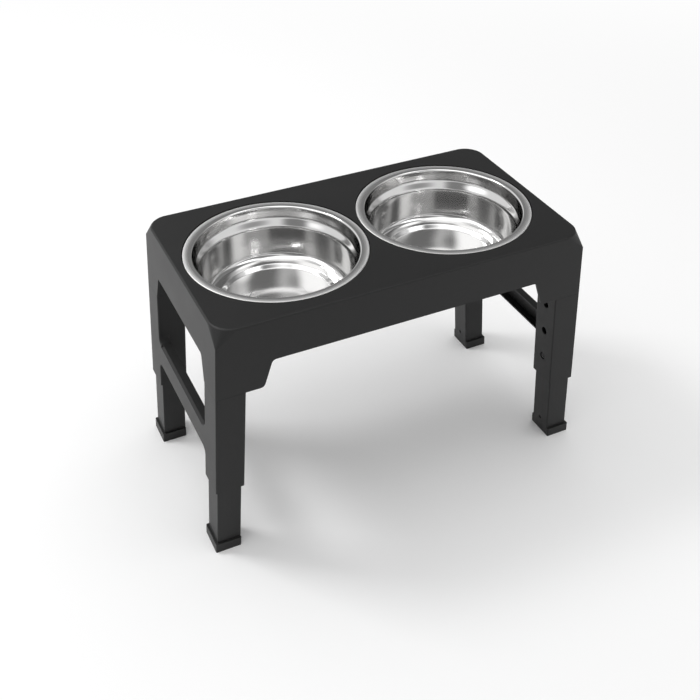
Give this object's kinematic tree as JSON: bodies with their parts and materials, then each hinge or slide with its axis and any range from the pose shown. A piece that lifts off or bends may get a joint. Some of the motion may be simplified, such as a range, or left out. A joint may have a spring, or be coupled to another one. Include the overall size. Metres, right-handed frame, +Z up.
{
  "type": "elevated dog feeder",
  "caption": "Raised pet feeder: a moulded table with loose steel bowls on splayed leg frames whose legs telescope and lock with snap buttons.",
  "frame": {"origin": "on the floor under the middle of the table, with the legs at their highest setting", "axes": "+X along the table's length to the right, +Y to the back, +Z up"},
  "size_m": [0.4754, 0.236, 0.3],
  "materials": {
    "charcoal_plastic": "satin moulded",
    "bowl_steel": "polished inside, satin rim",
    "foot_rubber": "matte",
    "button_plastic": "smooth",
    "spring_steel": "bright"
  },
  "bodies": {
    "table": {"tabletop": "charcoal_plastic"},
    "bowl_left": {"bowl_left": "bowl_steel"},
    "bowl_right": {"bowl_right": "bowl_steel"},
    "leg_frame_left": {"leg_frame_left": "charcoal_plastic"},
    "leg_frame_right": {"leg_frame_right": "charcoal_plastic"},
    "inner_leg_front_left": {"inner_leg_front_left": "charcoal_plastic", "foot_cap_front_left": "foot_rubber", "button_spring_front_left": "spring_steel"},
    "snap_button_front_left": {"snap_button_front_left": "button_plastic"},
    "inner_leg_back_left": {"inner_leg_back_left": "charcoal_plastic", "foot_cap_back_left": "foot_rubber", "button_spring_back_left": "spring_steel"},
    "snap_button_back_left": {"snap_button_back_left": "button_plastic"},
    "inner_leg_front_right": {"inner_leg_front_right": "charcoal_plastic", "foot_cap_front_right": "foot_rubber", "button_spring_front_right": "spring_steel"},
    "snap_button_front_right": {"snap_button_front_right": "button_plastic"},
    "inner_leg_back_right": {"inner_leg_back_right": "charcoal_plastic", "foot_cap_back_right": "foot_rubber", "button_spring_back_right": "spring_steel"},
    "snap_button_back_right": {"snap_button_back_right": "button_plastic"}
  },
  "joints": [
    {"name": "bowl_left_lift", "type": "slide", "parent": "table", "child": "bowl_left", "axis": [0, 0, 1], "range_m": [0, 0.09]},
    {"name": "bowl_right_lift", "type": "slide", "parent": "table", "child": "bowl_right", "axis": [0, 0, 1], "range_m": [0, 0.09]},
    {"name": "leg_frame_left_pull", "type": "slide", "parent": "table", "child": "leg_frame_left", "axis": [-0.0837, 0, -0.9965], "range_m": [0, 0.06]},
    {"name": "leg_frame_right_pull", "type": "slide", "parent": "table", "child": "leg_frame_right", "axis": [0.0837, 0, -0.9965], "range_m": [0, 0.06]},
    {"name": "inner_leg_front_left_slide", "type": "slide", "parent": "leg_frame_left", "child": "inner_leg_front_left", "axis": [0.0837, 0, 0.9965], "range_m": [0, 0.07827], "deforming": ["snap_button_front_left"]},
    {"name": "inner_leg_back_left_slide", "type": "slide", "parent": "leg_frame_left", "child": "inner_leg_back_left", "axis": [0.0837, 0, 0.9965], "range_m": [0, 0.07827], "deforming": ["snap_button_back_left"]},
    {"name": "inner_leg_front_right_slide", "type": "slide", "parent": "leg_frame_right", "child": "inner_leg_front_right", "axis": [-0.0837, 0, 0.9965], "range_m": [0, 0.07827], "deforming": ["snap_button_front_right"]},
    {"name": "inner_leg_back_right_slide", "type": "slide", "parent": "leg_frame_right", "child": "inner_leg_back_right", "axis": [-0.0837, 0, 0.9965], "range_m": [0, 0.07827], "deforming": ["snap_button_back_right"]},
    {"name": "snap_button_front_left_press", "type": "slide", "parent": "inner_leg_front_left", "child": "snap_button_front_left", "axis": [-1, 0, 0], "range_m": [0, 0.0036], "stiffness_N_per_m": 800, "springref_m": -0.003, "deforming": ["button_spring_front_left"]},
    {"name": "snap_button_back_left_press", "type": "slide", "parent": "inner_leg_back_left", "child": "snap_button_back_left", "axis": [-1, 0, 0], "range_m": [0, 0.0036], "stiffness_N_per_m": 800, "springref_m": -0.003, "deforming": ["button_spring_back_left"]},
    {"name": "snap_button_front_right_press", "type": "slide", "parent": "inner_leg_front_right", "child": "snap_button_front_right", "axis": [1, 0, 0], "range_m": [0, 0.0036], "stiffness_N_per_m": 800, "springref_m": -0.003, "deforming": ["button_spring_front_right"]},
    {"name": "snap_button_back_right_press", "type": "slide", "parent": "inner_leg_back_right", "child": "snap_button_back_right", "axis": [1, 0, 0], "range_m": [0, 0.0036], "stiffness_N_per_m": 800, "springref_m": -0.003, "deforming": ["button_spring_back_right"]}
  ]
}
